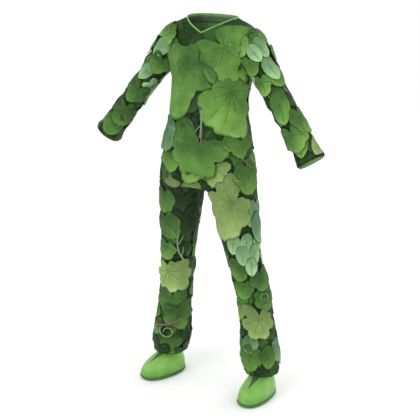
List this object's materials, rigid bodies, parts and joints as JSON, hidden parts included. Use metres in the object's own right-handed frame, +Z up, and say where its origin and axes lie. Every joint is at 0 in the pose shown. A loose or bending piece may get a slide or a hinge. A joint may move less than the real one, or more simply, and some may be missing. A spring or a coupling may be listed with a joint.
{
  "type": "ghillie suit",
  "caption": "Leaf-pattern camouflage suit: V-neck pull-over smock with long sleeves, trousers gathered at the ankle and soft overshoes, held open as worn.",
  "frame": {"origin": "centre of the neck opening at the height of the side-neck points, where the wearer's shoulders hold the suit", "axes": "+Z up, -Y to the front of the suit, +X to the wearer's left"},
  "size_m": [0.9456, 0.2756, 1.456],
  "materials": {
    "smock_cloth": "matt woven cloth with a leaf pattern",
    "trouser_cloth": "matt woven cloth with a leaf pattern",
    "leaf_green": "matt cloth leaf with printed veins",
    "leaf_pale": "matt cloth leaf with printed veins",
    "leaf_sage": "matt cloth leaf with printed veins",
    "leaf_dark": "matt cloth leaf with printed veins",
    "piping": "satin bias binding",
    "facing": "matt plain-woven lining",
    "elastic": "ribbed woven elastic",
    "twig": "matt cloth cord",
    "shoe_upper": "smooth coated cloth with a soft sheen",
    "shoe_gore": "ribbed stretch cloth",
    "shoe_sole": "matt moulded rubber"
  },
  "bodies": {
    "torso": {"smock_front": "smock_cloth", "smock_back": "smock_cloth", "smock_hem_band": "smock_cloth", "neck_piping": "piping", "back_neck_band": "piping", "neck_facing": "facing", "trouser_waistband": "trouser_cloth", "waist_elastic": "elastic", "seat_front": "trouser_cloth", "seat_back": "trouser_cloth", "crotch_gusset": "trouser_cloth", "chest_leaf_left": "leaf_green", "chest_leaf_right": "leaf_green", "breast_leaf": "leaf_green", "belly_leaf": "leaf_green", "hip_leaf": "leaf_green", "side_leaf": "leaf_green"},
    "left_upper_arm": {"left_sleeve_head": "smock_cloth", "left_upper_sleeve": "smock_cloth", "shoulder_leaf": "leaf_sage"},
    "left_forearm": {"left_elbow_section": "smock_cloth", "left_lower_sleeve": "smock_cloth", "left_cuff": "smock_cloth", "left_cuff_elastic": "elastic", "left_forearm_leaf": "leaf_green"},
    "left_thigh": {"left_hip_section": "trouser_cloth", "left_thigh": "trouser_cloth", "thigh_leaf": "leaf_pale"},
    "left_shin": {"left_knee_section": "trouser_cloth", "left_shin": "trouser_cloth", "left_ankle_gather": "trouser_cloth", "left_ankle_elastic": "elastic", "shin_leaf": "leaf_pale", "ankle_leaf": "leaf_green"},
    "left_shoe": {"left_shoe_upper": "shoe_upper", "left_instep_gore": "shoe_gore", "left_shoe_sole": "shoe_sole", "left_insole": "facing", "left_shoe_rim": "shoe_sole"},
    "right_upper_arm": {"right_sleeve_head": "smock_cloth", "right_upper_sleeve": "smock_cloth"},
    "right_forearm": {"right_elbow_section": "smock_cloth", "right_lower_sleeve": "smock_cloth", "right_cuff": "smock_cloth", "right_cuff_elastic": "elastic", "right_forearm_leaf": "leaf_green"},
    "right_thigh": {"right_hip_section": "trouser_cloth", "right_thigh": "trouser_cloth"},
    "right_shin": {"right_knee_section": "trouser_cloth", "right_shin": "trouser_cloth", "right_ankle_gather": "trouser_cloth", "right_ankle_elastic": "elastic", "knee_leaf": "leaf_pale"},
    "right_shoe": {"right_shoe_upper": "shoe_upper", "right_instep_gore": "shoe_gore", "right_shoe_sole": "shoe_sole", "right_insole": "facing", "right_shoe_rim": "shoe_sole"}
  },
  "joints": [
    {"name": "left_shoulder", "type": "hinge", "parent": "torso", "child": "left_upper_arm", "pos_m": [0.149, -0.002, -0.089], "axis": [0, -1, 0], "range_deg": [-4, 65], "deforming": ["left_sleeve_head", "shoulder_leaf"]},
    {"name": "left_elbow", "type": "hinge", "parent": "left_upper_arm", "child": "left_forearm", "pos_m": [0.3019, -0.0336, -0.2956], "axis": [-0.8039, 0, -0.5948], "range_deg": [0, 100], "deforming": ["left_elbow_section"]},
    {"name": "left_hip", "type": "hinge", "parent": "torso", "child": "left_thigh", "pos_m": [0.1, -0.034, -0.55], "axis": [-1, 0, 0], "range_deg": [-15, 70], "deforming": ["left_hip_section", "thigh_leaf"]},
    {"name": "left_knee", "type": "hinge", "parent": "left_thigh", "child": "left_shin", "pos_m": [0.157, 0, -0.96], "axis": [1, 0, 0], "range_deg": [0, 95], "deforming": ["left_knee_section"]},
    {"name": "left_ankle", "type": "hinge", "parent": "left_shin", "child": "left_shoe", "pos_m": [0.208, 0.02, -1.36], "axis": [-0.9976, 0.0698, 0], "range_deg": [-25, 15], "deforming": ["left_ankle_gather", "left_ankle_elastic"]},
    {"name": "right_shoulder", "type": "hinge", "parent": "torso", "child": "right_upper_arm", "pos_m": [-0.149, -0.002, -0.089], "axis": [0, 1, 0], "range_deg": [-4, 65], "deforming": ["right_sleeve_head"]},
    {"name": "right_elbow", "type": "hinge", "parent": "right_upper_arm", "child": "right_forearm", "pos_m": [-0.3019, -0.0336, -0.2956], "axis": [-0.8039, 0, 0.5948], "range_deg": [0, 100], "deforming": ["right_elbow_section"]},
    {"name": "right_hip", "type": "hinge", "parent": "torso", "child": "right_thigh", "pos_m": [-0.1, -0.034, -0.55], "axis": [-1, 0, 0], "range_deg": [-15, 70], "deforming": ["right_hip_section"]},
    {"name": "right_knee", "type": "hinge", "parent": "right_thigh", "child": "right_shin", "pos_m": [-0.157, 0, -0.96], "axis": [1, 0, 0], "range_deg": [0, 95], "deforming": ["right_knee_section", "knee_leaf"]},
    {"name": "right_ankle", "type": "hinge", "parent": "right_shin", "child": "right_shoe", "pos_m": [-0.208, 0.02, -1.36], "axis": [-0.9272, 0.3746, 0], "range_deg": [-25, 15], "deforming": ["right_ankle_gather", "right_ankle_elastic"]}
  ]
}
